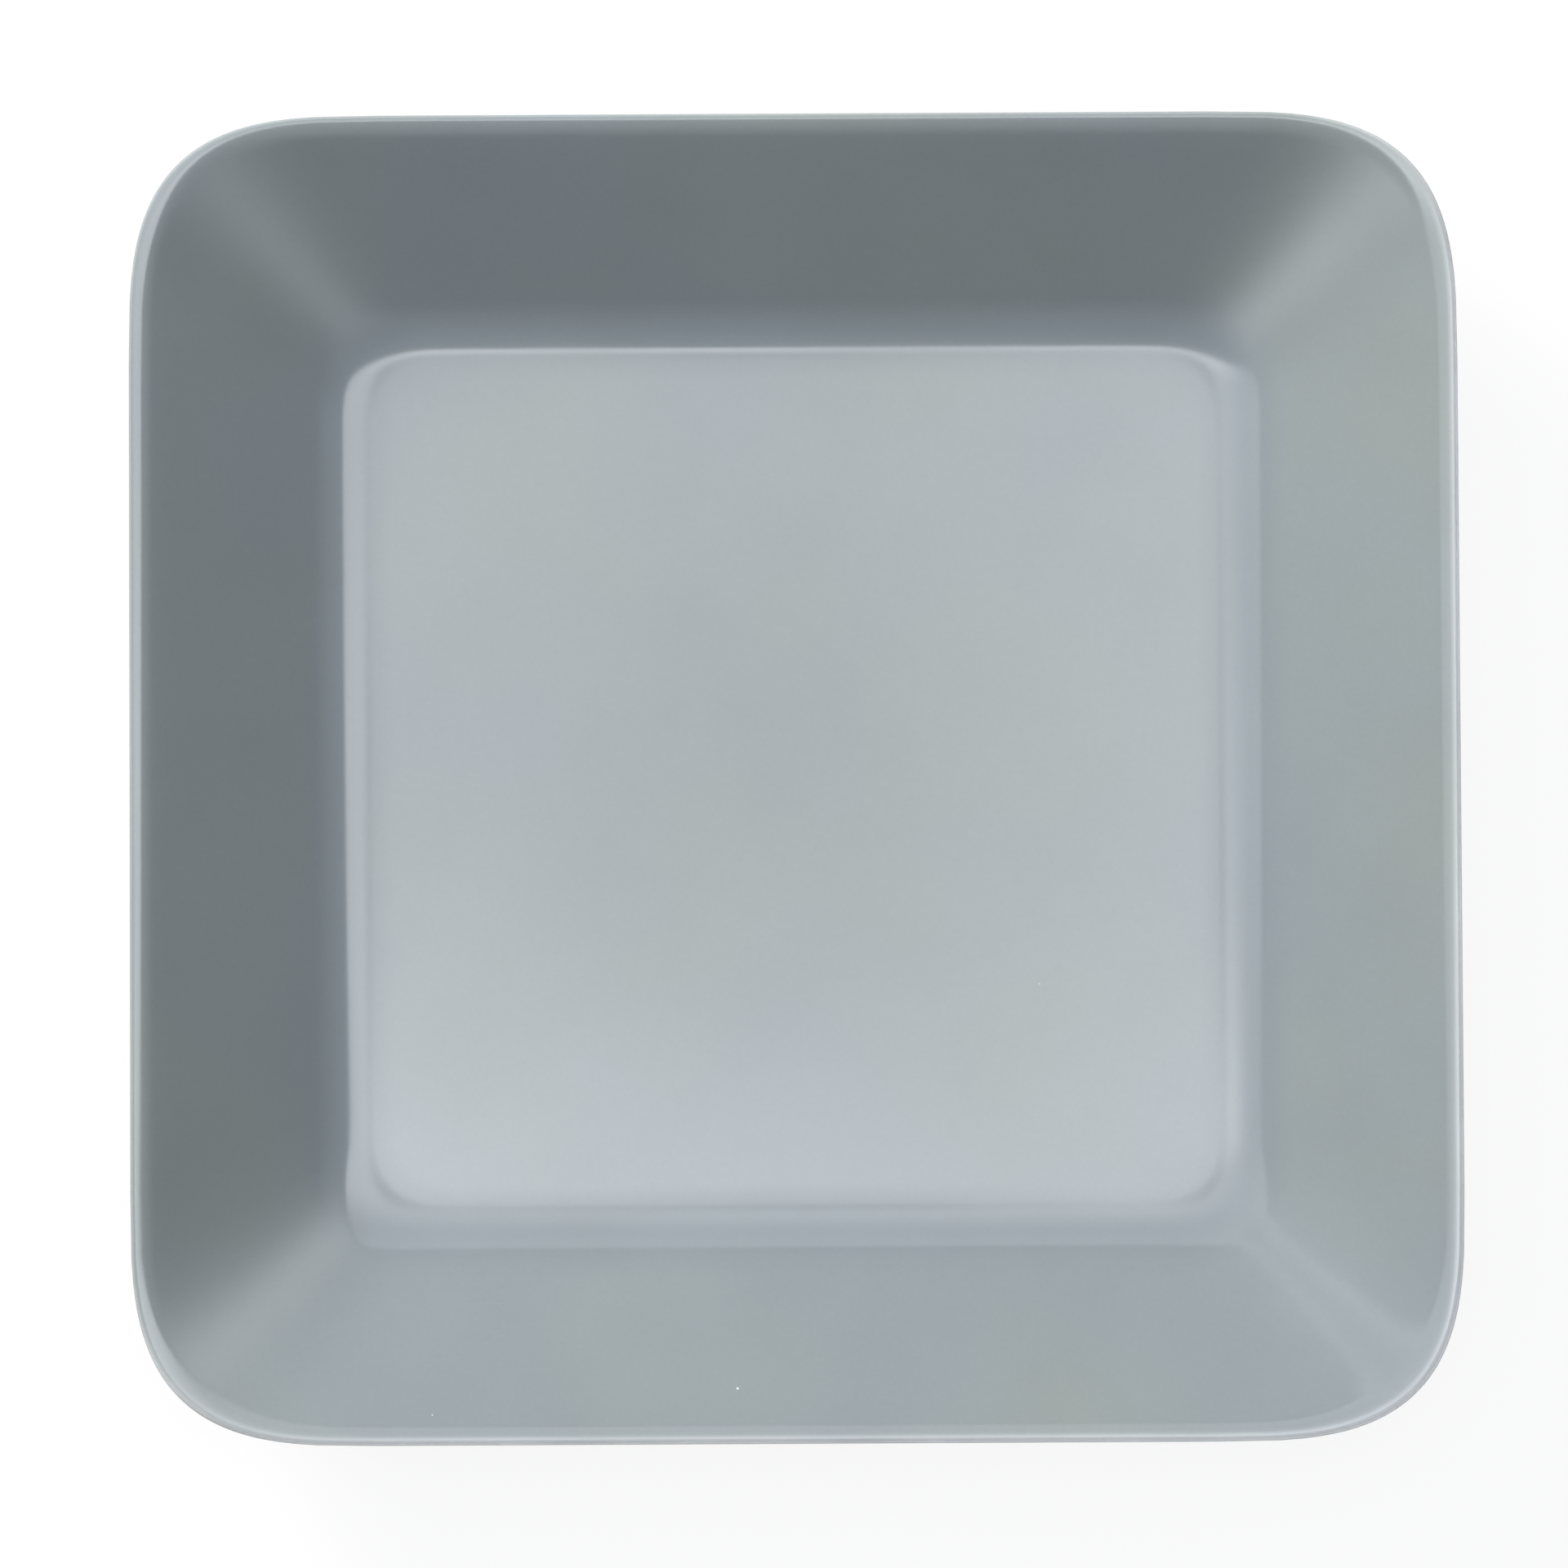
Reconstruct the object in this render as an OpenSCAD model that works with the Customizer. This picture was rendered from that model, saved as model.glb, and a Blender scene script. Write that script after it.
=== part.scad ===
// Square dinner plate with rounded corners, a flat well and a sloping rim that levels out at the lip.
// It is one fired stoneware body with two coats of glaze: one over the face, the lip and the
// back, and one inside the foot ring. The edge that it stands on is bare.
// Z is up, and the origin is on the table, under the middle of the plate.

/* [Plate] */
// Width from lip to lip, over the glaze
plate_w = 240; // [200:1:300]
// Height of the lip above the table
plate_h = 27; // [24:0.5:32]

/* [Lip] */
// Radius of the soft crown that levels the rim's face towards the lip
crown_r = 9; // [6:0.5:12]
// Slope that is left at the end of the crown, in degrees
crown_end = 8; // [4:1:12]
// Radius of the lip's upper edge
lip_edge_r = 1; // [0.8:0.1:1.6]
// Height of the lip's upright outer side between its two rounded edges
lip_side = 1.4; // [0.8:0.1:2]
// Radius of the lip's lower edge
lip_under_r = 2.2; // [1.6:0.1:2.8]

/* [Rim and well] */
// Width of the rim and the cove together, from the flat floor to the outside of the lip
rim_w = 43; // [36:0.5:52]
// Thickness of the floor and the heel, over the glaze
floor_t = 5.2; // [4:0.1:7]
// Radius of the cove between the floor and the rim
cove_r = 22; // [12:1:26]

/* [Corners] */
// How far a corner of the flat floor reaches along each side before the side runs straight
floor_corner = 18; // [14:1:30]
// How far a corner of the lip reaches along each side
lip_corner = 45; // [36:1:64]
// Fullness of the corners: 2 is a quarter circle, and larger values are squarer
corner_power = 3.2; // [2.2:0.1:4]

/* [Foot ring] */
// Depth of the recess that the foot ring stands round
foot_h = 2.6; // [2.2:0.1:4]
// Width of the foot ring at its standing edge, before the edges are rounded
foot_t = 4.4; // [3.2:0.1:6]
// How far the foot ring stands inside the edge of the flat floor, so that plates stack
foot_inset = 2; // [1:0.5:6]
// Lean of the foot ring's sides, in degrees
foot_lean = 14; // [6:1:20]
// Radius of the two rounded edges of the foot ring
foot_edge_r = 0.9; // [0.6:0.1:1.2]
// Radius of the fillets at the root of the foot ring
foot_root_r = 1.3; // [0.9:0.1:1.5]
// Depth ground off the foot ring to make it stand flat
ground_off = 0.2; // [0.1:0.05:0.3]

/* [Glaze] */
// Thickness of the coats
glaze_t = 0.35; // [0.2:0.05:0.6]
// Height of the band above the table that is wiped clean of glaze
wiped_h = 1.1; // [0.9:0.1:1.3]

/* [Hidden] */

// Flat steps in each round stretch of the section, and in each corner of an outline. The lip's
// upper edge has some up to its top and the rest on to its outer side.
cove_steps = 6;
crown_steps = 4;
lip_edge_steps = [1, 4];
lip_under_steps = 3;
heel_steps = 4;
foot_steps = 3;
corner_steps = 12;

// Colours of the fired clay and the glaze
clay_colour = [0.84, 0.81, 0.76];
glaze_colour = [0.58, 0.62, 0.635];

// Half the width of the flat floor, side to side
floor_half = plate_w / 2 - rim_w;

// Centre of the arcs of the cove and the heel, in the section [across, up]
heel_centre = [floor_half, foot_h + floor_t + cove_r];

// Centres of the lip's upper edge, of the crown that ends in it and of its lower edge
lip_edge_centre = [plate_w / 2 - lip_edge_r, plate_h - lip_edge_r];
crown_centre = lip_edge_centre + (crown_r - lip_edge_r) * [sin(crown_end), -cos(crown_end)];
lip_under_centre = [plate_w / 2 - lip_under_r, lip_edge_centre.y - lip_side];

// Slope of the line that touches the cove's arc and the crown, the rim's face, and of the one
// that touches the heel's arc and the lip's lower edge, the rim's back
function slope(from, to, gap) =
    let (span = to - from)
    atan2(span.y, span.x) + asin(gap / norm(span));
rim_deg = slope(heel_centre, crown_centre, cove_r + crown_r);
back_deg = slope(heel_centre, lip_under_centre, cove_r + floor_t - lip_under_r);

// The foot ring's middle line, its outer edge's arc and the root fillet beyond its leaning side
foot_mid = floor_half - foot_inset - foot_t / 2;
edge_centre = [foot_mid + foot_t / 2 - foot_edge_r, foot_edge_r - ground_off];
side_foot = edge_centre + foot_edge_r * [cos(foot_lean), -sin(foot_lean)];
clay_under = foot_h + glaze_t;
root_centre_z = clay_under - foot_root_r;
side_rise = root_centre_z + foot_root_r * sin(foot_lean) - side_foot.y;
side_root = side_foot + side_rise * [tan(foot_lean), 1];
root_centre = [side_root.x + foot_root_r * cos(foot_lean), root_centre_z];

// A section is a list of stations [across, up, direction the surface faces]. Each is given on
// the clay, and lifting it by a thickness along the direction that it faces gives the surface
// of a coat on it. An arc turns through the directions given, in so many steps to each next
// one, and is hollow where its radius is negative.
function turned(through, steps) =
    [through[0], for (j = [1:len(steps)], i = [1:steps[j - 1]])
        through[j - 1] + (through[j] - through[j - 1]) * i / steps[j - 1]];
function arc(centre, r, through, steps) =
    [for (facing = turned(through, steps))
        [centre.x + r * cos(facing), centre.y + r * sin(facing), facing]];
function lifted(stations, t) = [for (s = stations) [s[0] + t * cos(s[2]), s[1] + t * sin(s[2])]];
function backwards(list) = [for (i = [len(list) - 1:-1:0]) list[i]];
function across_foot(stations) = [for (s = stations) [2 * foot_mid - s[0], s[1], -180 - s[2]]];

// The clay's section from the edge of the floor over the lip to the root of the foot ring,
// then down its outer side, and the same side turned over for the inside of the ring
cove = arc(heel_centre, -cove_r - glaze_t, [90, 90 + rim_deg], [cove_steps]);
crown = arc(crown_centre, crown_r - glaze_t, [90 + rim_deg, 90 + crown_end], [crown_steps]);
lip_edge = arc(lip_edge_centre, lip_edge_r - glaze_t, [90 + crown_end, 90, 0], lip_edge_steps);
lip_under = arc(lip_under_centre, lip_under_r - glaze_t, [0, back_deg - 90], [lip_under_steps]);
lip = concat(crown, [for (i = [1:len(lip_edge) - 1]) lip_edge[i]], lip_under);
heel = arc(heel_centre, cove_r + floor_t - glaze_t, [back_deg - 90, -90], [heel_steps]);
root = arc(root_centre, -foot_root_r, [-90, -foot_lean], [foot_steps]);
edge = arc(edge_centre, foot_edge_r, [-foot_lean, -90], [foot_steps]);
inner_edge = backwards(across_foot(edge));
inner_root = backwards(across_foot(root));

// A corner's reach along the sides grows steadily from the floor's to the lip's
function corner_at(across) =
    floor_corner + (lip_corner - floor_corner) * (across - floor_half) / rim_w;

// The point of a unit superellipse that faces a direction, and a quarter of the curve in equal
// turns of that direction
function corner_point(facing) =
    let (share = 1 / (corner_power - 1),
         run = pow(cos(facing), share),
         rise = pow(sin(facing), share))
    [run, rise] / pow(pow(run, corner_power) + pow(rise, corner_power), 1 / corner_power);
corner = [for (i = [0:corner_steps]) corner_point(90 * i / corner_steps)];

function quarter_turned(p, turns) =
    turns == 0 ? p : quarter_turned([-p.y, p.x], turns - 1);

// One level outline of the plate, at [across, up] in the section
function outline(at) =
    let (reach = corner_at(at.x), middle = at.x - reach)
    [for (turns = [0:3], c = corner)
        let (p = quarter_turned([middle + reach * c.x, middle + reach * c.y], turns))
        [p.x, p.y, at.y]];

// A closed solid skinned over outlines, from its upward flat to its downward flat
module skinned(section) {
    around = 4 * len(corner);
    last = len(section) - 1;
    upward_flat = [for (k = [around - 1:-1:0]) k];
    downward_flat = [for (k = [0:around - 1]) last * around + k];
    skin = [for (s = [0:last - 1], k = [0:around - 1])
        let (next = (k + 1) % around,
             a = s * around + k,
             b = s * around + next,
             c = (s + 1) * around + next,
             d = (s + 1) * around + k)
        each [[a, b, c], [a, c, d]]];
    polyhedron(
        points = [for (at = section) each outline(at)],
        faces = concat([upward_flat], skin, [downward_flat]));
}

// A coat on some stations: its own surface and the clay under it, closed at the coat's edge
function coat(stations) = concat(lifted(stations, glaze_t), backwards(lifted(stations, 0)));

// All that lies under a level
module below(level) {
    translate([-plate_w, -plate_w, level - plate_h])
        cube([2 * plate_w, 2 * plate_w, plate_h]);
}

// The fired body, its foot ring ground flat
module stoneware_body() {
    color(clay_colour)
        difference() {
            skinned(lifted(concat(cove, lip, heel, root, edge, inner_edge, inner_root), 0));
            below(0);
        }
}

// The coat over the face, the lip and the back, wiped off the foot ring's standing edge
module face_glaze() {
    color(glaze_colour)
        difference() {
            skinned(coat(concat(cove, lip, heel, root, [edge[0]])));
            below(wiped_h);
        }
}

// The coat in the recess, wiped off the foot ring's inner edge
module base_glaze() {
    color(glaze_colour)
        difference() {
            skinned(backwards(coat(backwards(concat([inner_edge[foot_steps]], inner_root)))));
            below(wiped_h);
        }
}

stoneware_body();
face_glaze();
base_glaze();
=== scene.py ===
"""A square dinner plate under a glossy blue-grey glaze, seen from above on a plain white floor.

The clay and its two coats of glaze are each lofted from one section by a Geometry Nodes tree, to
the sizes of the construction. Lengths are in metres, Z is up, and the plate stands at the origin.
"""
import math

import bpy
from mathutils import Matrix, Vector


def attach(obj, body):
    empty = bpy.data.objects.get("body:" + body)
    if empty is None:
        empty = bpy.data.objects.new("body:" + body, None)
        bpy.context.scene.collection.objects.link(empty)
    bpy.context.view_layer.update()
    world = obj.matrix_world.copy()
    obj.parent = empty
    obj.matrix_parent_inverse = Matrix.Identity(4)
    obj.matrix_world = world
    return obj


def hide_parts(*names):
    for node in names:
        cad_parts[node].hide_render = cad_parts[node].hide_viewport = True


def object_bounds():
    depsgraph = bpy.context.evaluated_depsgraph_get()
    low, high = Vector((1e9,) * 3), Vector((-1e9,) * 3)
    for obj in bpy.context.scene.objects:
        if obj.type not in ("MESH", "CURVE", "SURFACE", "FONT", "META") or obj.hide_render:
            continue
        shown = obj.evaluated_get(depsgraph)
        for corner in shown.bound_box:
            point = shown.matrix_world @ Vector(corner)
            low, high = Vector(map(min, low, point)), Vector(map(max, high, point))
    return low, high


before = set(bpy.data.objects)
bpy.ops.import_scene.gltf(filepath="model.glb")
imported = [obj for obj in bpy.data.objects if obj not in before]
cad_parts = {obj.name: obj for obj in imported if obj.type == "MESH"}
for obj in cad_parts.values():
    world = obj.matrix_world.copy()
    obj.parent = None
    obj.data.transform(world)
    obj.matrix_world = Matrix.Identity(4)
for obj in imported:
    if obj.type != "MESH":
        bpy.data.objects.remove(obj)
cad_low, cad_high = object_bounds()

MM = 0.001

# Sizes of the plate, as the construction has them. The two overall ones come from its box.
PLATE_WIDTH = cad_high.x - cad_low.x
PLATE_HEIGHT = cad_high.z
RIM_WIDTH = 43 * MM
FLOOR_THICKNESS = 5.2 * MM
COVE_RADIUS = 22 * MM
CROWN_RADIUS = 9 * MM
CROWN_END = 8
LIP_EDGE_RADIUS = 1 * MM
LIP_SIDE = 1.4 * MM
LIP_UNDER_RADIUS = 2.2 * MM
FLOOR_CORNER = 18 * MM
LIP_CORNER = 45 * MM
CORNER_POWER = 3.2
FOOT_HEIGHT = 2.6 * MM
FOOT_THICKNESS = 4.4 * MM
FOOT_INSET = 2 * MM
FOOT_LEAN = 14
FOOT_EDGE_RADIUS = 0.9 * MM
FOOT_ROOT_RADIUS = 1.3 * MM
GROUND_OFF = 0.2 * MM
GLAZE_THICKNESS = 0.35 * MM
WIPED_HEIGHT = 1.1 * MM

# How finely the section and the outlines are divided
TURN_STEP = 5
RUN_STEP = 4 * MM
CORNER_STEPS = 32
SIDE_STEPS = 12
SHARP_TURN = 30

# Points closer together than this are one, and a share this small is none
MERGE_DISTANCE = 0.001 * MM
TINY_SHARE = 1e-6

# The fired plate is a little uneven over the height of its floor and above, always downwards
UNEVENNESS = 0.06 * MM
UNEVEN_SPAN = 38 * MM
UNEVEN_DETAIL = 1.0

# How far from the lip's brink the glaze runs thin, how steeply it does, and how far from the
# middle of the cove it pools
THIN_REACH = 2.0 * MM
THIN_POWER = 3
POOL_REACH = 9 * MM


# The section


def arc(centre, radius, first, last):
    """Stations (across, up, direction the surface faces) round an arc, hollow if radius < 0."""
    steps = max(1, math.ceil(abs(last - first) / TURN_STEP))
    stations = []
    for step in range(steps + 1):
        facing = first + (last - first) * step / steps
        turn = math.radians(facing)
        across = centre[0] + radius * math.cos(turn)
        up = centre[1] + radius * math.sin(turn)
        stations.append((across, up, facing))
    return stations


def lifted(stations, thickness):
    """The stations moved outwards by a thickness, each in the direction that it faces."""
    moved = []
    for across, up, facing in stations:
        turn = math.radians(facing)
        moved.append((across + thickness * math.cos(turn), up + thickness * math.sin(turn), facing))
    return moved


def over_the_foot(stations):
    """The stations of the foot ring's outer side turned over to its inner side."""
    turned_over = []
    for across, up, facing in reversed(stations):
        turned_over.append((2 * foot_middle - across, up, -180 - facing))
    return turned_over


def divided(stations):
    """The stations with more between any two that lie more than a run's step apart."""
    full = [stations[0]]
    for before, after in zip(stations, stations[1:]):
        run = math.dist(before[:2], after[:2])
        steps = max(1, math.ceil(run / RUN_STEP))
        for step in range(1, steps + 1):
            share = step / steps
            full.append(tuple(a + (b - a) * share for a, b in zip(before, after)))
    return full


floor_half = PLATE_WIDTH / 2 - RIM_WIDTH
heel_centre = (floor_half, FOOT_HEIGHT + FLOOR_THICKNESS + COVE_RADIUS)
lip_edge_centre = (PLATE_WIDTH / 2 - LIP_EDGE_RADIUS, PLATE_HEIGHT - LIP_EDGE_RADIUS)
crown_tilt = math.radians(CROWN_END)
crown_centre = (
    lip_edge_centre[0] + (CROWN_RADIUS - LIP_EDGE_RADIUS) * math.sin(crown_tilt),
    lip_edge_centre[1] - (CROWN_RADIUS - LIP_EDGE_RADIUS) * math.cos(crown_tilt),
)
lip_under_centre = (PLATE_WIDTH / 2 - LIP_UNDER_RADIUS, lip_edge_centre[1] - LIP_SIDE)


def slope(start, end, gap):
    """The slope, in degrees, of the line that touches two arcs whose centres are given."""
    span = math.atan2(end[1] - start[1], end[0] - start[0])
    return math.degrees(span + math.asin(gap / math.dist(start, end)))


rim_turn = slope(heel_centre, crown_centre, COVE_RADIUS + CROWN_RADIUS)
back_turn = slope(heel_centre, lip_under_centre, COVE_RADIUS + FLOOR_THICKNESS - LIP_UNDER_RADIUS)

foot_middle = floor_half - FOOT_INSET - FOOT_THICKNESS / 2
lean = math.radians(FOOT_LEAN)
edge_centre = (foot_middle + FOOT_THICKNESS / 2 - FOOT_EDGE_RADIUS, FOOT_EDGE_RADIUS - GROUND_OFF)
side_foot = (
    edge_centre[0] + FOOT_EDGE_RADIUS * math.cos(lean),
    edge_centre[1] - FOOT_EDGE_RADIUS * math.sin(lean),
)
root_height = FOOT_HEIGHT + GLAZE_THICKNESS - FOOT_ROOT_RADIUS
side_rise = root_height + FOOT_ROOT_RADIUS * math.sin(lean) - side_foot[1]
root_centre = (
    side_foot[0] + side_rise * math.tan(lean) + FOOT_ROOT_RADIUS * math.cos(lean),
    root_height,
)

# Where the ring's edge is ground flat, and where the glaze ends on its outer side, in a round bead
ground_turn = -math.degrees(math.asin(edge_centre[1] / FOOT_EDGE_RADIUS))
bead_radius = GLAZE_THICKNESS / 2
bead_up = WIPED_HEIGHT + bead_radius * (math.cos(lean) + math.sin(lean))
bead_foot = side_foot[0] + (bead_up - side_foot[1]) * math.tan(lean)
bead_centre = (bead_foot + bead_radius * math.cos(lean), bead_up - bead_radius * math.sin(lean))

cove = arc(heel_centre, -COVE_RADIUS - GLAZE_THICKNESS, 90, 90 + rim_turn)
crown = arc(crown_centre, CROWN_RADIUS - GLAZE_THICKNESS, 90 + rim_turn, 90 + CROWN_END)
lip_edge = arc(lip_edge_centre, LIP_EDGE_RADIUS - GLAZE_THICKNESS, 90 + CROWN_END, 90)
lip_edge += arc(lip_edge_centre, LIP_EDGE_RADIUS - GLAZE_THICKNESS, 90, 0)[1:]
lip_under = arc(lip_under_centre, LIP_UNDER_RADIUS - GLAZE_THICKNESS, 0, back_turn - 90)
lip = crown + lip_edge[1:] + lip_under
heel = arc(heel_centre, COVE_RADIUS + FLOOR_THICKNESS - GLAZE_THICKNESS, back_turn - 90, -90)
root = arc(root_centre, -FOOT_ROOT_RADIUS, -90, -FOOT_LEAN)
edge = arc(edge_centre, FOOT_EDGE_RADIUS, -FOOT_LEAN, ground_turn)
bead = arc(bead_centre, bead_radius, -FOOT_LEAN, -180 - FOOT_LEAN)

clay_floor = (0, cove[0][1], 90)
clay_recess = (0, root[0][1], -90)
face_clay = [clay_floor] + cove + lip + heel + root
base_clay = over_the_foot(root) + [clay_recess]

CLAY_SECTION = divided(face_clay + edge + over_the_foot(edge) + base_clay)
FACE_COAT = divided(lifted(face_clay, GLAZE_THICKNESS) + bead) + divided(face_clay)[::-1]
BASE_COAT = divided(base_clay)[::-1]
BASE_COAT += divided(over_the_foot(bead) + lifted(base_clay, GLAZE_THICKNESS))


# The loft

DEPTH_NAME = "glaze_depth"


def calc(tree, operation, *values):
    """A maths node with sockets or plain numbers as its inputs. Returns its output."""
    node = tree.nodes.new("ShaderNodeMath")
    node.operation = operation
    for socket, value in zip(node.inputs, values):
        if isinstance(value, bpy.types.NodeSocket):
            tree.links.new(value, socket)
        else:
            socket.default_value = value
    return node.outputs[0]


def split(tree, vector):
    """The X, Y and Z of a vector, as the outputs of a node."""
    node = tree.nodes.new("ShaderNodeSeparateXYZ")
    tree.links.new(vector, node.inputs[0])
    return node.outputs


LOFT_INPUTS = (
    ("Section", "NodeSocketObject", None),
    ("Flat Half Width", "NodeSocketFloat", foot_middle - FOOT_THICKNESS),
    ("Floor Half Width", "NodeSocketFloat", floor_half),
    ("Rim Width", "NodeSocketFloat", RIM_WIDTH),
    ("Floor Corner", "NodeSocketFloat", FLOOR_CORNER),
    ("Lip Corner", "NodeSocketFloat", LIP_CORNER),
    ("Corner Power", "NodeSocketFloat", CORNER_POWER),
    ("Corner Steps", "NodeSocketInt", CORNER_STEPS),
    ("Side Steps", "NodeSocketInt", SIDE_STEPS),
    ("Unevenness", "NodeSocketFloat", 0.0),
    ("Uneven Span", "NodeSocketFloat", UNEVEN_SPAN),
    ("Even Up To", "NodeSocketFloat", FOOT_HEIGHT + 2 * GLAZE_THICKNESS),
    ("Uneven From", "NodeSocketFloat", FOOT_HEIGHT + FLOOR_THICKNESS / 2),
    ("Material", "NodeSocketMaterial", None),
)


def rounded_square_loft():
    """A tree that sweeps a section round a square with superelliptic corners."""
    tree = bpy.data.node_groups.new("Rounded square loft", "GeometryNodeTree")
    tree.interface.new_socket("Geometry", in_out="INPUT", socket_type="NodeSocketGeometry")
    for name, kind, value in LOFT_INPUTS:
        socket = tree.interface.new_socket(name, in_out="INPUT", socket_type=kind)
        if value is not None:
            socket.default_value = value
    tree.interface.new_socket("Geometry", in_out="OUTPUT", socket_type="NodeSocketGeometry")
    nodes, link = tree.nodes, tree.links.new
    given = nodes.new("NodeGroupInput").outputs

    # The section's points, and a sheet with a row of points for each
    section = nodes.new("GeometryNodeObjectInfo")
    link(given["Section"], section.inputs["Object"])
    count = nodes.new("GeometryNodeAttributeDomainSize")
    link(section.outputs["Geometry"], count.inputs["Geometry"])
    quarter = calc(tree, "ADD", given["Corner Steps"], given["Side Steps"])
    around = calc(tree, "MULTIPLY", quarter, 4)
    sheet = nodes.new("GeometryNodeMeshGrid")
    link(calc(tree, "ADD", around, 1), sheet.inputs["Vertices X"])
    link(count.outputs["Point Count"], sheet.inputs["Vertices Y"])
    place = split(tree, nodes.new("GeometryNodeInputPosition").outputs[0])
    turn_share = calc(tree, "ADD", place["X"], 0.5)
    station_share = calc(tree, "ADD", place["Y"], 0.5)
    last_station = calc(tree, "SUBTRACT", count.outputs["Point Count"], 1)
    station = calc(tree, "ROUND", calc(tree, "MULTIPLY", station_share, last_station))

    def from_section(value, kind):
        """What the section's point holds that this point of the sheet follows."""
        sample = nodes.new("GeometryNodeSampleIndex")
        sample.data_type = kind
        link(section.outputs["Geometry"], sample.inputs["Geometry"])
        link(value, sample.inputs["Value"])
        link(station, sample.inputs["Index"])
        return sample.outputs["Value"]

    held_place = nodes.new("GeometryNodeInputPosition").outputs[0]
    at = split(tree, from_section(held_place, "FLOAT_VECTOR"))
    across = at["X"]

    # The corner's reach grows steadily from the floor to the lip, and shrinks away inside the flat
    held = calc(tree, "MAXIMUM", across, given["Flat Half Width"])
    past_floor = calc(tree, "SUBTRACT", held, given["Floor Half Width"])
    beyond = calc(tree, "DIVIDE", past_floor, given["Rim Width"])
    growth = calc(tree, "SUBTRACT", given["Lip Corner"], given["Floor Corner"])
    full_reach = calc(tree, "MULTIPLY_ADD", growth, beyond, given["Floor Corner"])
    reach = calc(tree, "MULTIPLY", full_reach, calc(tree, "DIVIDE", across, held))
    middle = calc(tree, "SUBTRACT", across, reach)

    # Steps round a quarter: first the corner in equal turns, then the straight side
    step = calc(tree, "ROUND", calc(tree, "MULTIPLY", turn_share, around))
    quarter_count = calc(tree, "FLOOR", calc(tree, "DIVIDE", calc(tree, "ADD", step, 0.5), quarter))
    in_quarter = calc(tree, "SUBTRACT", step, calc(tree, "MULTIPLY", quarter_count, quarter))
    corner_share = calc(tree, "MINIMUM", calc(tree, "DIVIDE", in_quarter, given["Corner Steps"]), 1)
    past_corner = calc(tree, "SUBTRACT", in_quarter, given["Corner Steps"])
    side_share = calc(tree, "MAXIMUM", calc(tree, "DIVIDE", past_corner, given["Side Steps"]), 0)

    # The point of a unit superellipse that faces a direction
    facing = calc(tree, "MULTIPLY", corner_share, math.pi / 2)
    root_share = calc(tree, "DIVIDE", 1, calc(tree, "SUBTRACT", given["Corner Power"], 1))
    level = calc(tree, "SUBTRACT", calc(tree, "COSINE", facing), TINY_SHARE)
    rise = calc(tree, "SUBTRACT", calc(tree, "SINE", facing), TINY_SHARE)
    level_root = calc(tree, "POWER", calc(tree, "MAXIMUM", level, 0), root_share)
    rise_root = calc(tree, "POWER", calc(tree, "MAXIMUM", rise, 0), root_share)
    level_power = calc(tree, "POWER", level_root, given["Corner Power"])
    rise_power = calc(tree, "POWER", rise_root, given["Corner Power"])
    total = calc(tree, "ADD", level_power, rise_power)
    size = calc(tree, "POWER", total, calc(tree, "DIVIDE", 1, given["Corner Power"]))

    # The outline's point: the corner's, drawn back along the side, then turned to its quarter
    back_along = calc(tree, "MULTIPLY", calc(tree, "MULTIPLY", middle, side_share), 2)
    x = calc(tree, "MULTIPLY_ADD", calc(tree, "DIVIDE", level_root, size), reach, middle)
    y = calc(tree, "MULTIPLY_ADD", calc(tree, "DIVIDE", rise_root, size), reach, middle)
    point = nodes.new("ShaderNodeCombineXYZ")
    link(calc(tree, "SUBTRACT", x, back_along), point.inputs["X"])
    link(y, point.inputs["Y"])
    link(at["Z"], point.inputs["Z"])
    turned = nodes.new("ShaderNodeVectorRotate")
    turned.rotation_type = "Z_AXIS"
    link(point.outputs[0], turned.inputs["Vector"])
    link(calc(tree, "MULTIPLY", quarter_count, math.pi / 2), turned.inputs["Angle"])
    held_depth = nodes.new("GeometryNodeInputNamedAttribute")
    held_depth.data_type = "FLOAT"
    held_depth.inputs["Name"].default_value = DEPTH_NAME
    marked = nodes.new("GeometryNodeStoreNamedAttribute")
    marked.inputs["Name"].default_value = DEPTH_NAME
    link(sheet.outputs["Mesh"], marked.inputs["Geometry"])
    link(from_section(held_depth.outputs["Attribute"], "FLOAT"), marked.inputs["Value"])
    shaped = nodes.new("GeometryNodeSetPosition")
    link(marked.outputs[0], shaped.inputs["Geometry"])
    link(turned.outputs[0], shaped.inputs["Position"])

    # The seam and the two poles closed, and the faces turned outwards
    closed = nodes.new("GeometryNodeMergeByDistance")
    link(shaped.outputs[0], closed.inputs["Geometry"])
    closed.inputs["Distance"].default_value = MERGE_DISTANCE
    outward = nodes.new("GeometryNodeFlipFaces")
    link(closed.outputs[0], outward.inputs["Mesh"])

    # The slow unevenness, none of it in the foot ring
    noise = nodes.new("ShaderNodeTexNoise")
    noise.inputs["Detail"].default_value = UNEVEN_DETAIL
    position = nodes.new("GeometryNodeInputPosition").outputs[0]
    link(position, noise.inputs["Vector"])
    link(calc(tree, "DIVIDE", 1, given["Uneven Span"]), noise.inputs["Scale"])
    fade = nodes.new("ShaderNodeMapRange")
    link(split(tree, position)["Z"], fade.inputs["Value"])
    link(given["Even Up To"], fade.inputs["From Min"])
    link(given["Uneven From"], fade.inputs["From Max"])
    full_depth = calc(tree, "MULTIPLY", noise.outputs[0], given["Unevenness"])
    depth = calc(tree, "MULTIPLY", full_depth, fade.outputs[0])
    drop = nodes.new("ShaderNodeCombineXYZ")
    link(calc(tree, "MULTIPLY", depth, -1), drop.inputs["Z"])
    uneven = nodes.new("GeometryNodeSetPosition")
    link(outward.outputs[0], uneven.inputs["Geometry"])
    link(drop.outputs[0], uneven.inputs["Offset"])

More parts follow.
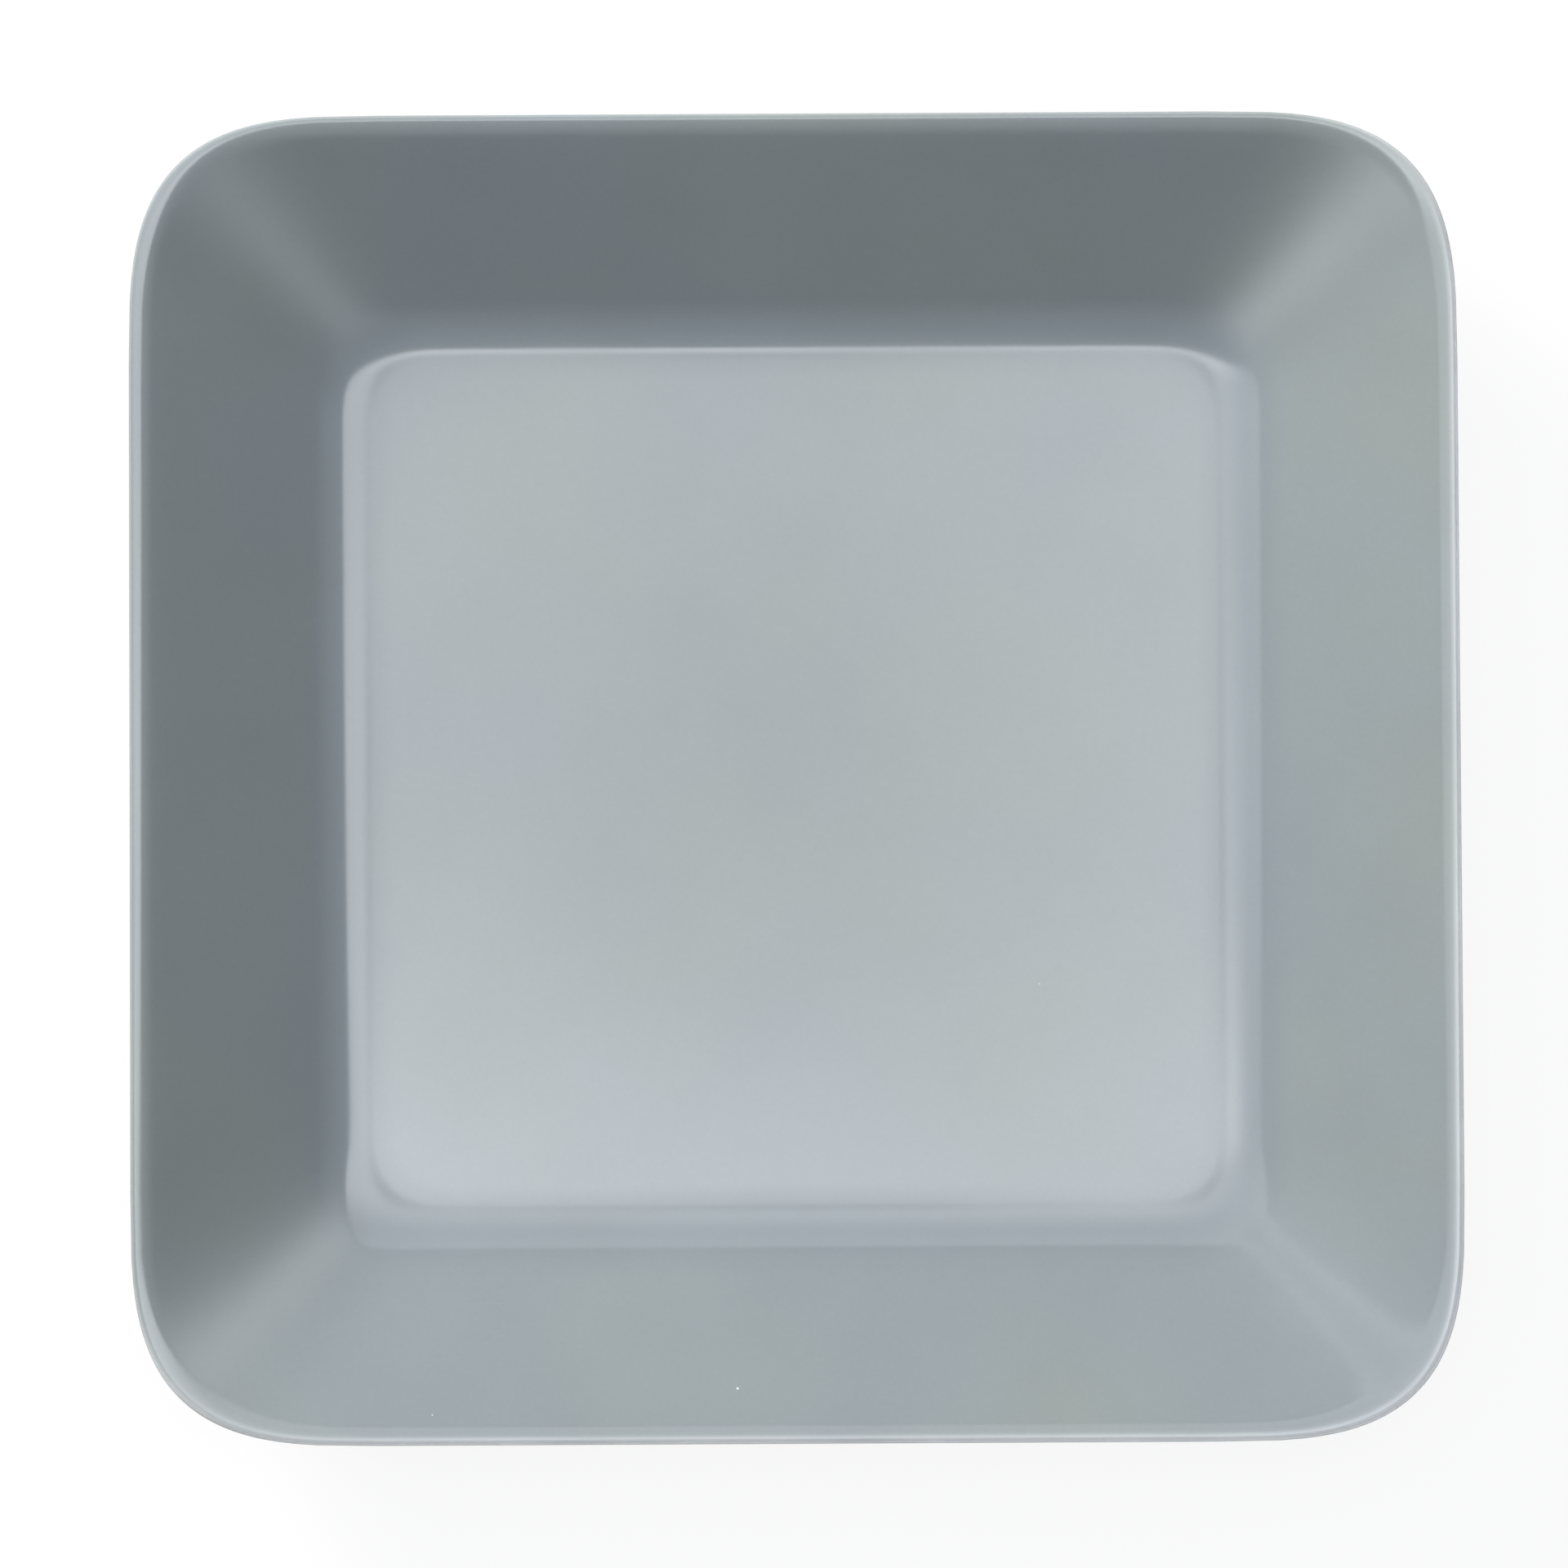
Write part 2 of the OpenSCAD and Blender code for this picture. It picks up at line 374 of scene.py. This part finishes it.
    smooth = nodes.new("GeometryNodeSetShadeSmooth")
    link(uneven.outputs[0], smooth.inputs["Geometry"])
    real = nodes.new("GeometryNodeRealizeInstances")
    link(smooth.outputs[0], real.inputs[0])
    finish = nodes.new("GeometryNodeSetMaterial")
    link(real.outputs[0], finish.inputs["Geometry"])
    link(given["Material"], finish.inputs["Material"])
    link(finish.outputs[0], nodes.new("NodeGroupOutput").inputs[0])
    return tree


cove_turn = math.radians(rim_turn / 2)
cove_middle = (
    heel_centre[0] + COVE_RADIUS * math.sin(cove_turn),
    heel_centre[1] - COVE_RADIUS * math.cos(cove_turn),
)
lip_brink = [along + LIP_EDGE_RADIUS * math.sqrt(0.5) for along in lip_edge_centre]


def glaze_depth(across, up):
    """The depth of the glaze at a place in the section: -1 where it runs thin, 1 where it pools."""
    thin = max(0, 1 - math.dist((across, up), lip_brink) / THIN_REACH) ** THIN_POWER
    pool = max(0, 1 - math.dist((across, up), cove_middle) / POOL_REACH)
    return pool - thin


def section_object(name, stations):
    """The stations as a line of points, each with the depth of the glaze there."""
    mesh = bpy.data.meshes.new(name)
    points = [(across, 0, up) for across, up, _ in stations]
    mesh.from_pydata(points, [(i, i + 1) for i in range(len(points) - 1)], [])
    depths = mesh.attributes.new(DEPTH_NAME, "FLOAT", "POINT")
    depths.data.foreach_set("value", [glaze_depth(across, up) for across, _, up in points])
    ob = bpy.data.objects.new(name, mesh)
    bpy.context.scene.collection.objects.link(ob)
    return ob


def lofted(name, stations, material, tree):
    """A finished piece: the stations lofted round the plate, as a plain mesh."""
    section = section_object(name + "_section", stations)
    start = bpy.data.objects.new(name + "_start", bpy.data.meshes.new(name + "_start"))
    bpy.context.scene.collection.objects.link(start)
    loft = start.modifiers.new("Loft", "NODES")
    loft.node_group = tree
    sockets = {s.name: s.identifier for s in tree.interface.items_tree if s.in_out == "INPUT"}
    loft[sockets["Section"]] = section
    loft[sockets["Material"]] = material
    loft[sockets["Unevenness"]] = UNEVENNESS
    evaluated = start.evaluated_get(bpy.context.evaluated_depsgraph_get())
    mesh = bpy.data.meshes.new_from_object(evaluated)
    mesh.name = name
    mesh.set_sharp_from_angle(angle=math.radians(SHARP_TURN))
    ob = bpy.data.objects.new(name, mesh)
    bpy.context.scene.collection.objects.link(ob)
    bpy.data.objects.remove(start)
    bpy.data.objects.remove(section)
    return ob


# Effects that both finishes use, as shader node groups

# The least share of the given radius that a speck has, and the share of its own radius out to
# which it is full
SPECK_LEAST = 0.5
SPECK_CORE = 0.5


def effect_group(name, inputs):
    """A shader node group with float inputs, after its coordinates, and a mask to put out."""
    group = bpy.data.node_groups.new(name, "ShaderNodeTree")
    group.interface.new_socket("Coordinates", in_out="INPUT", socket_type="NodeSocketVector")
    for label, value in inputs:
        socket = group.interface.new_socket(label, in_out="INPUT", socket_type="NodeSocketFloat")
        socket.default_value = value
    group.interface.new_socket("Mask", in_out="OUTPUT", socket_type="NodeSocketFloat")
    given = group.nodes.new("NodeGroupInput").outputs
    put_out = group.nodes.new("NodeGroupOutput").inputs
    return group, given, put_out


def mottle_group():
    """Soft patches of a given span: a mask from 0 to 1, mostly near a half."""
    inputs = [("Span", 40 * MM), ("Detail", 1.0), ("Offset", 0.0)]
    group, given, put_out = effect_group("Mottle", inputs)
    noise = group.nodes.new("ShaderNodeTexNoise")
    noise.noise_dimensions = "4D"
    group.links.new(given["Coordinates"], noise.inputs["Vector"])
    group.links.new(given["Offset"], noise.inputs["W"])
    group.links.new(calc(group, "DIVIDE", 1, given["Span"]), noise.inputs["Scale"])
    group.links.new(given["Detail"], noise.inputs["Detail"])
    group.links.new(noise.outputs[0], put_out["Mask"])
    return group


def specks_group():
    """Round specks of about a given radius, in a share of the cells of a given spacing."""
    inputs = [("Spacing", 10 * MM), ("Radius", 0.3 * MM), ("Share", 0.1)]
    group, given, put_out = effect_group("Specks", inputs)
    cells = group.nodes.new("ShaderNodeTexVoronoi")
    group.links.new(given["Coordinates"], cells.inputs["Vector"])
    group.links.new(calc(group, "DIVIDE", 1, given["Spacing"]), cells.inputs["Scale"])
    chance = group.nodes.new("ShaderNodeSeparateColor")
    group.links.new(cells.outputs["Color"], chance.inputs[0])
    chosen = calc(group, "LESS_THAN", chance.outputs[0], given["Share"])
    size = calc(group, "ADD", chance.outputs[1], SPECK_LEAST)
    reach = calc(group, "MULTIPLY", given["Radius"], size)
    away = calc(group, "MULTIPLY", cells.outputs["Distance"], given["Spacing"])
    edge = group.nodes.new("ShaderNodeMapRange")
    edge.interpolation_type = "SMOOTHSTEP"
    group.links.new(calc(group, "DIVIDE", away, reach), edge.inputs["Value"])
    edge.inputs["From Min"].default_value = 1.0
    edge.inputs["From Max"].default_value = SPECK_CORE
    group.links.new(calc(group, "MULTIPLY", edge.outputs[0], chosen), put_out["Mask"])
    return group


mottle = mottle_group()
specks = specks_group()


def placed(tree, group, coordinates, **values):
    """A shared effect placed in a material with its own values. Returns its mask."""
    node = tree.nodes.new("ShaderNodeGroup")
    node.node_tree = group
    tree.links.new(coordinates, node.inputs["Coordinates"])
    for label, value in values.items():
        node.inputs[label].default_value = value
    return node.outputs["Mask"]


def blended(tree, share, first, second):
    """A colour mix of two colours or colour sockets, by a share that varies."""
    mix = tree.nodes.new("ShaderNodeMix")
    mix.data_type = "RGBA"
    tree.links.new(share, mix.inputs["Factor"])
    for socket, colour in ((mix.inputs["A"], first), (mix.inputs["B"], second)):
        if isinstance(colour, bpy.types.NodeSocket):
            tree.links.new(colour, socket)
        else:
            socket.default_value = (*colour, 1)
    return mix.outputs["Result"]


def ranged(tree, value, low, high, to_low, to_high):
    """A value carried from one range to another and held there."""
    node = tree.nodes.new("ShaderNodeMapRange")
    tree.links.new(value, node.inputs["Value"])
    ends = {"From Min": low, "From Max": high, "To Min": to_low, "To Max": to_high}
    for label, end in ends.items():
        node.inputs[label].default_value = end
    return node.outputs[0]


def scaled(tree, colour, shade):
    """A colour made lighter or darker by a factor that varies."""
    node = tree.nodes.new("ShaderNodeVectorMath")
    node.operation = "SCALE"
    tree.links.new(colour, node.inputs[0])
    tree.links.new(shade, node.inputs["Scale"])
    return node.outputs[0]


def bumped(tree, height, depth):
    """A normal from a height mask that is worth so much depth."""
    bump = tree.nodes.new("ShaderNodeBump")
    bump.inputs["Distance"].default_value = depth
    tree.links.new(height, bump.inputs["Height"])
    return bump.outputs[0]


# The materials

# The masks of the soft patches seldom leave this range, so their drifts are spread over it
MOTTLE_RANGE = (0.3, 0.7)
MOTTLE_MIDDLE = 0.5

GLAZE_COOL = (0.203, 0.231, 0.250)
GLAZE_GREEN = (0.212, 0.238, 0.238)
GLAZE_POOLED = (0.186, 0.215, 0.235)
# The thin glaze's pale colour, painted as a highlight on the two lit sides of the lip
GLAZE_THIN_AND_LIT = (0.860, 0.880, 0.900)
GLAZE_SPECK = (0.080, 0.075, 0.070)
GLAZE_PINHOLE = (0.560, 0.560, 0.540)
GLAZE_IOR = 1.58

# The drift between its two greys, the lighter and darker patches, the grain, the waves in the
# surface, and the two kinds of specks
GLAZE_HUE = {"Span": 52 * MM, "Detail": 1.5, "Offset": 146.4}
GLAZE_TONE = {"Span": 24 * MM, "Detail": 2.0, "Offset": 5.3}
GLAZE_GRAIN = {"Span": 0.9 * MM, "Detail": 2.0, "Offset": 9.1}
GLAZE_WAVES = {"Span": 7 * MM, "Detail": 1.0, "Offset": 3.9}
DARK_SPECKS = {"Spacing": 16 * MM, "Radius": 0.28 * MM, "Share": 0.10}
PINHOLES = {"Spacing": 11 * MM, "Radius": 0.20 * MM, "Share": 0.10}

# How far each carries the look from its middle
HUE_RANGE = (0.35, 0.65)
TONE_DRIFT = 0.025
GRAIN_DRIFT = 0.015
POOL_DRIFT = 0.35
THIN_DRIFT = 0.1
GLAZE_ROUGHNESS = 0.12
ROUGHNESS_DRIFT = 0.02
PINHOLE_ROUGHNESS = 0.3
WAVE_DEPTH = 0.006 * MM
SPECK_DEPTH_IN_WAVES = 1.5

# A painted highlight: the lip's pale thin glaze is kept to the two sides where light falls on it.
# It turns pale between these distances across the diagonal, and hardly so on the other two sides.
LIT_SIDES_SPAN = (-30 * MM, 40 * MM)
LIT_SIDES_LEAST = 0.04

CLAY_COLOUR = (0.640, 0.590, 0.510)
CLAY_TOASTED = (0.520, 0.400, 0.280)
CLAY_GROUND = (0.700, 0.670, 0.610)
CLAY_IRON = (0.200, 0.130, 0.080)

CLAY_PATCHES = {"Span": 14 * MM, "Detail": 2.0, "Offset": 2.2}
CLAY_SAND = {"Span": 0.5 * MM, "Detail": 3.0, "Offset": 6.4}
CLAY_SCRATCHES = {"Span": 0.35 * MM, "Detail": 2.0, "Offset": 4.1}
IRON_SPECKS = {"Spacing": 2.4 * MM, "Radius": 0.16 * MM, "Share": 0.25}

PATCH_DRIFT = 0.05
SAND_DRIFT = 0.08
CLAY_RELIEF = 0.05 * MM
CLAY_ROUGHNESS = 0.88
GROUND_ROUGHNESS = 0.62
SCRATCH_TURN = 35
SCRATCH_SQUEEZE = 0.06

# The heights over which the clay turns toasted, how uneven they are, and how far down a face
# must look to be ground
TOAST_SPAN = (0.7 * WIPED_HEIGHT, 1.2 * WIPED_HEIGHT)
TOAST_UNEVENNESS = 0.5 * MM
GROUND_FACING = (-0.90, -0.99)


def new_material(name):
    """A material with its tree, its Principled shader and its Object coordinates."""
    material = bpy.data.materials.new(name)
    material.use_nodes = True
    tree = material.node_tree
    shader = tree.nodes["Principled BSDF"]
    coordinates = tree.nodes.new("ShaderNodeTexCoord").outputs["Object"]
    return material, tree, shader, coordinates


def drift(tree, mask, amount, middle=1):
    """A value that drifts with a mask of soft patches, by an amount either way from its middle."""
    return ranged(tree, mask, *MOTTLE_RANGE, middle - amount, middle + amount)


def glaze_material():
    """A smooth blue-grey glaze, deeper where it pools, its thin lip painted pale on two sides as a
    highlight.
    """
    material, tree, shader, coordinates = new_material("Blue-grey glaze")
    hue = placed(tree, mottle, coordinates, **GLAZE_HUE)
    tone = placed(tree, mottle, coordinates, **GLAZE_TONE)
    grain = placed(tree, mottle, coordinates, **GLAZE_GRAIN)
    waves = placed(tree, mottle, coordinates, **GLAZE_WAVES)
    dark_specks = placed(tree, specks, coordinates, **DARK_SPECKS)
    pinholes = placed(tree, specks, coordinates, **PINHOLES)
    attribute = tree.nodes.new("ShaderNodeAttribute")
    attribute.attribute_name = DEPTH_NAME
    depth = attribute.outputs["Fac"]

    colour = blended(tree, ranged(tree, hue, *HUE_RANGE, 0, 1), GLAZE_COOL, GLAZE_GREEN)
    from_middle = calc(tree, "SUBTRACT", tone, MOTTLE_MIDDLE)
    pooled = calc(tree, "MULTIPLY_ADD", from_middle, POOL_DRIFT, depth)
    colour = blended(tree, ranged(tree, pooled, 0, 1, 0, 1), colour, GLAZE_POOLED)

    # Painted highlight: the thin lip turns pale almost only on the sides towards -Y and +X, where
    # the light falls
    place = split(tree, coordinates)
    off_diagonal = calc(tree, "SUBTRACT", place["X"], place["Y"])
    lit_sides = ranged(tree, off_diagonal, *LIT_SIDES_SPAN, LIT_SIDES_LEAST, 1)
    thin = calc(tree, "MULTIPLY", depth, drift(tree, tone, -THIN_DRIFT, -1))
    thin = calc(tree, "MULTIPLY", calc(tree, "MAXIMUM", thin, 0), lit_sides)
    colour = blended(tree, thin, colour, GLAZE_THIN_AND_LIT)

    grain_shade = drift(tree, grain, GRAIN_DRIFT, 0)
    shade = calc(tree, "ADD", drift(tree, tone, TONE_DRIFT), grain_shade)
    colour = blended(tree, pinholes, scaled(tree, colour, shade), GLAZE_PINHOLE)
    colour = blended(tree, dark_specks, colour, GLAZE_SPECK)
    tree.links.new(colour, shader.inputs["Base Color"])
    shader.inputs["IOR"].default_value = GLAZE_IOR

    smooth = drift(tree, hue, ROUGHNESS_DRIFT, GLAZE_ROUGHNESS)
    rough = calc(tree, "MULTIPLY_ADD", pinholes, PINHOLE_ROUGHNESS, smooth)
    tree.links.new(rough, shader.inputs["Roughness"])
    pits = calc(tree, "ADD", pinholes, dark_specks)
    pitted = calc(tree, "MULTIPLY_ADD", pits, -SPECK_DEPTH_IN_WAVES, waves)
    tree.links.new(bumped(tree, pitted, WAVE_DEPTH), shader.inputs["Normal"])
    return material


def clay_material():
    """Bare fired stoneware: matt, sandy, toasted beside the glaze and paler where it is ground."""
    material, tree, shader, coordinates = new_material("Bare fired clay")
    patches = placed(tree, mottle, coordinates, **CLAY_PATCHES)
    sand = placed(tree, mottle, coordinates, **CLAY_SAND)
    iron = placed(tree, specks, coordinates, **IRON_SPECKS)
    height = split(tree, coordinates)["Z"]
    uneven_height = calc(tree, "MULTIPLY_ADD", patches, TOAST_UNEVENNESS, height)
    toasted = ranged(tree, uneven_height, *TOAST_SPAN, 0, 1)
    facing = tree.nodes.new("ShaderNodeNewGeometry").outputs["True Normal"]
    ground = ranged(tree, split(tree, facing)["Z"], *GROUND_FACING, 0, 1)

    colour = blended(tree, toasted, CLAY_COLOUR, CLAY_TOASTED)
    colour = blended(tree, ground, colour, CLAY_GROUND)
    sand_shade = drift(tree, sand, SAND_DRIFT, 0)
    shade = calc(tree, "ADD", drift(tree, patches, PATCH_DRIFT), sand_shade)
    colour = blended(tree, iron, scaled(tree, colour, shade), CLAY_IRON)
    tree.links.new(colour, shader.inputs["Base Color"])
    rough = ranged(tree, ground, 0, 1, CLAY_ROUGHNESS, GROUND_ROUGHNESS)
    tree.links.new(rough, shader.inputs["Roughness"])

    # Fine scratches run one way across the ground face
    turned = tree.nodes.new("ShaderNodeMapping")
    turned.inputs["Rotation"].default_value = (0, 0, math.radians(SCRATCH_TURN))
    turned.inputs["Scale"].default_value = (1, SCRATCH_SQUEEZE, 1)
    tree.links.new(coordinates, turned.inputs["Vector"])
    scratches = placed(tree, mottle, turned.outputs[0], **CLAY_SCRATCHES)
    texture = tree.nodes.new("ShaderNodeMix")
    tree.links.new(ground, texture.inputs["Factor"])
    tree.links.new(sand, texture.inputs["A"])
    tree.links.new(scratches, texture.inputs["B"])
    relief = bumped(tree, texture.outputs["Result"], CLAY_RELIEF)
    tree.links.new(relief, shader.inputs["Normal"])
    return material


# The pieces

loft_tree = rounded_square_loft()
glaze = glaze_material()
clay = clay_material()

for name, stations, material, node, slot in (
    ("fired_clay_body", CLAY_SECTION, clay, "stoneware_body", "fired_clay"),
    ("face_glaze_coat", FACE_COAT, glaze, "face_glaze", "grey_glaze"),
    ("base_glaze_coat", BASE_COAT, glaze, "base_glaze", "grey_glaze"),
):
    piece = lofted(name, stations, material, loft_tree)
    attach(piece, "root")
    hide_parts(node)


# The floor, the surroundings and the light

FLOOR_SPAN = 12.0
FLOOR_WHITE = (0.80, 0.80, 0.80)
FLOOR_GLOW = 0.90
FLOOR_GAP = 0.02 * MM
FILL = (0.02, 0.02, 0.02)
WHITE = (1.0, 1.0, 1.0)


def empty_material(name):
    """A material with an empty tree."""
    material = bpy.data.materials.new(name)
    material.use_nodes = True
    material.node_tree.nodes.clear()
    return material, material.node_tree


def put_on(tree, shader):
    """A shader made the look of the surface."""
    output = tree.nodes.new("ShaderNodeOutputMaterial")
    tree.links.new(shader, output.inputs["Surface"])


def matt(tree, colour):
    """A matt shader of one colour."""
    node = tree.nodes.new("ShaderNodeBsdfDiffuse")
    node.inputs["Color"].default_value = (*colour, 1)
    return node.outputs[0]


def mixed(tree, share, first, second):
    """A mix of two shaders."""
    mix = tree.nodes.new("ShaderNodeMixShader")
    for socket, source in zip(mix.inputs, (share, first, second)):
        tree.links.new(source, socket)
    return mix.outputs[0]


def square_outline(half):
    """The corners of a square, from half its span."""
    return [(-half, -half), (half, -half), (half, half), (-half, half)]


def seen_directly(tree):
    """1 for what the camera sees, mirrored or not, and 0 for light on its way to a surface."""
    path = tree.nodes.new("ShaderNodeLightPath").outputs
    seen = calc(tree, "MAXIMUM", path["Is Camera Ray"], path["Is Glossy Ray"])
    return calc(tree, "MAXIMUM", seen, path["Is Transmission Ray"])


def pale_floor():
    """A plain white floor that glows where it is seen, keeps the shadow and is clear from below."""
    mesh = bpy.data.meshes.new("floor")
    corners = [(x, y, -FLOOR_GAP) for x, y in square_outline(FLOOR_SPAN / 2)]
    mesh.from_pydata(corners, [], [range(4)])
    material, tree = empty_material("Pale floor")
    share = calc(tree, "MULTIPLY", seen_directly(tree), FLOOR_GLOW)
    glow = tree.nodes.new("ShaderNodeEmission").outputs[0]
    face = mixed(tree, share, matt(tree, FLOOR_WHITE), glow)
    below = tree.nodes.new("ShaderNodeNewGeometry").outputs["Backfacing"]
    clear = tree.nodes.new("ShaderNodeBsdfTransparent").outputs[0]
    put_on(tree, mixed(tree, below, face, clear))
    mesh.materials.append(material)
    floor = bpy.data.objects.new("floor", mesh)
    bpy.context.scene.collection.objects.link(floor)


def white_world():
    """A dim fill light from all round, seen as white."""
    world = bpy.data.worlds.new("Studio")
    world.use_nodes = True
    tree = world.node_tree
    background = tree.nodes["Background"]
    colour = blended(tree, seen_directly(tree), FILL, WHITE)
    tree.links.new(colour, background.inputs["Color"])
    bpy.context.scene.world = world


# Under a grey ceiling hangs a softbox with rounded corners, hot at its near right and dim at its
# far left, with a brighter streak along its near edge and the camera's shade in it. Soft panels
# hang over the near left, the far right and the near right. The key is low, at the far left.
CEILING_HEIGHT = 2.25
CEILING_SPAN = 10.0
CEILING_GREY = (0.06, 0.06, 0.06)
OVERHEAD_COLOUR = (0.965, 1.00, 1.045)

CLOTH_CENTRE = (-0.40, 0.86, 2.18)
CLOTH_HALF_WIDTH = 1.40
CLOTH_HALF_DEPTH = 1.05
CLOTH_POWER = 4.0
CLOTH_POINTS = 96
CLOTH_RADIANCE = 1.42
CLOTH_EDGE_RADIANCE = 0.1
CLOTH_NEAR_EDGE = 0.03
CLOTH_FAR_EDGE = 0.2

# Each spot on the cloth has its place from the cloth's centre, its reach and its radiance
CLOTH_SPOTS = (
    ((1.10, -0.86), (1.22, 0.60), 3.4),
    ((0.17, -0.96), (0.50, 0.085), 3.2),
    ((0.40, -0.80), (0.12, 0.17), -1.8),
    ((-0.95, 0.62), (0.50, 0.45), -0.9),
)

PANEL_HEIGHT = 2.2
PANEL_PLACES = ((-1.35, -1.25), (1.55, 1.35), (1.10, -1.45))
PANEL_HALF_SPAN = 1.5
PANEL_REACH = 0.8
PANEL_RADIANCES = (1.9, 1.75, 1.2)
PANEL_EDGE_RADIANCE = 0.12

KEY_AZIMUTH = -41.5
KEY_ELEVATION = 24.8
KEY_DISTANCE = 3.5
KEY_WIDTH = 1.1
KEY_RADIANCE = 55
KEY_COLOUR = (1.025, 1.00, 0.96)


def overhead_sheet(name, outline, place, material):
    """A flat stage piece over the plate that lights and is mirrored, but isn't seen itself."""
    mesh = bpy.data.meshes.new(name)
    mesh.from_pydata([(x, y, 0) for x, y in outline], [], [range(len(outline) - 1, -1, -1)])
    mesh.materials.append(material)
    sheet = bpy.data.objects.new(name, mesh)
    sheet.location = place
    sheet.visible_camera = False
    bpy.context.scene.collection.objects.link(sheet)


def cloth_outline():
    """The softbox's outline: an oblong with superelliptic corners."""
    points = []
    for step in range(CLOTH_POINTS):
        turn = 2 * math.pi * step / CLOTH_POINTS
        run, rise = math.cos(turn), math.sin(turn)
        powers = abs(run) ** CLOTH_POWER + abs(rise) ** CLOTH_POWER
        size = powers ** (1 / CLOTH_POWER)
        points.append((CLOTH_HALF_WIDTH * run / size, CLOTH_HALF_DEPTH * rise / size))
    return points


def ceiling_material():
    """Matt grey paint."""
    material, tree = empty_material("Grey ceiling")
    put_on(tree, matt(tree, CEILING_GREY))
    return material


def spot(tree, x, y, centre, reach):
    """A soft round spot, 1 in its middle, that falls off over a reach each way."""
    off_x = calc(tree, "DIVIDE", calc(tree, "SUBTRACT", x, centre[0]), reach[0])
    off_y = calc(tree, "DIVIDE", calc(tree, "SUBTRACT", y, centre[1]), reach[1])
    square = calc(tree, "MULTIPLY_ADD", off_x, off_x, calc(tree, "MULTIPLY", off_y, off_y))
    return calc(tree, "POWER", math.e, calc(tree, "MULTIPLY", square, -1))


def lit_material(name):
    """A lit cloth with its tree, its place across and along, and the strength of its light."""
    material, tree = empty_material(name)
    place = split(tree, tree.nodes.new("ShaderNodeTexCoord").outputs["Object"])
    emission = tree.nodes.new("ShaderNodeEmission")
    emission.inputs["Color"].default_value = (*OVERHEAD_COLOUR, 1)
    put_on(tree, emission.outputs[0])
    return material, tree, place["X"], place["Y"], emission.inputs["Strength"]


def cloth_material():
    """The softbox's cloth, which brightens inwards from its edge, more slowly at the far side."""
    material, tree, x, y, strength = lit_material("Softbox cloth")
    off_x = calc(tree, "DIVIDE", calc(tree, "ABSOLUTE", x), CLOTH_HALF_WIDTH)
    off_y = calc(tree, "DIVIDE", calc(tree, "ABSOLUTE", y), CLOTH_HALF_DEPTH)
    power_x = calc(tree, "POWER", off_x, CLOTH_POWER)
    power_y = calc(tree, "POWER", off_y, CLOTH_POWER)
    off_middle = calc(tree, "POWER", calc(tree, "ADD", power_x, power_y), 1 / CLOTH_POWER)
    inward = calc(tree, "SUBTRACT", 1, off_middle)
    edge = ranged(tree, y, 0, CLOTH_HALF_DEPTH, CLOTH_NEAR_EDGE, CLOTH_FAR_EDGE)
    rise = tree.nodes.new("ShaderNodeMapRange")
    rise.interpolation_type = "SMOOTHSTEP"
    tree.links.new(calc(tree, "DIVIDE", inward, edge), rise.inputs["Value"])
    added = CLOTH_RADIANCE - CLOTH_EDGE_RADIANCE
    for centre, reach, radiance in CLOTH_SPOTS:
        added = calc(tree, "MULTIPLY_ADD", spot(tree, x, y, centre, reach), radiance, added)
    lit = calc(tree, "MULTIPLY_ADD", added, rise.outputs[0], CLOTH_EDGE_RADIANCE)
    tree.links.new(lit, strength)
    return material


def panel_material(radiance):
    """A soft panel that fades outwards from its middle."""
    material, tree, x, y, strength = lit_material("Soft panel")
    middle = spot(tree, x, y, (0, 0), (PANEL_REACH, PANEL_REACH))
    lit = calc(tree, "MULTIPLY_ADD", middle, radiance, PANEL_EDGE_RADIANCE)
    tree.links.new(lit, strength)
    return material


def key_light():
    """The key: it shapes the rims, but isn't mirrored in the glaze."""
    lamp = bpy.data.lights.new("key", "AREA")
    lamp.size = KEY_WIDTH
    lamp.color = KEY_COLOUR
    lamp.energy = math.pi * KEY_RADIANCE * KEY_WIDTH ** 2
    turn, rise = math.radians(KEY_AZIMUTH), math.radians(KEY_ELEVATION)
    level = math.cos(rise)
    towards = Vector((math.sin(turn) * level, math.cos(turn) * level, math.sin(rise)))
    key = bpy.data.objects.new("key", lamp)
    key.location = towards * KEY_DISTANCE
    key.rotation_euler = towards.to_track_quat("Z", "Y").to_euler()
    key.visible_camera = False
    key.visible_glossy = False
    bpy.context.scene.collection.objects.link(key)


pale_floor()
white_world()
ceiling_place = (0, 0, CEILING_HEIGHT)
overhead_sheet("ceiling", square_outline(CEILING_SPAN / 2), ceiling_place, ceiling_material())
overhead_sheet("softbox_cloth", cloth_outline(), CLOTH_CENTRE, cloth_material())
panel_outline = square_outline(PANEL_HALF_SPAN)
for (x, y), radiance in zip(PANEL_PLACES, PANEL_RADIANCES):
    overhead_sheet("panel", panel_outline, (x, y, PANEL_HEIGHT), panel_material(radiance))
key_light()


# The camera: nearly overhead, from the side of the plate that is down in the photo

VIEW_TILT = 2.4
VIEW_ROLL = -0.3
VIEW_DISTANCE = 1.5
LENS = 191.2
SENSOR_WIDTH = 36
PICTURE_PIXELS = 1920
CENTRE_OFF = (16, 9.5)

camera_data = bpy.data.cameras.new("camera")
camera_data.lens = LENS
camera_data.sensor_width = SENSOR_WIDTH
camera_data.shift_x = -CENTRE_OFF[0] / PICTURE_PIXELS
camera_data.shift_y = -CENTRE_OFF[1] / PICTURE_PIXELS
camera = bpy.data.objects.new("camera", camera_data)
tilt = math.radians(VIEW_TILT)
towards_camera = Vector((0, -math.sin(tilt), math.cos(tilt)))
camera.location = towards_camera * VIEW_DISTANCE + Vector((0, 0, PLATE_HEIGHT))
camera.rotation_euler = (tilt, 0, math.radians(VIEW_ROLL))
bpy.context.scene.collection.objects.link(camera)
bpy.context.scene.camera = camera
bpy.context.scene.view_settings.view_transform = "Standard"
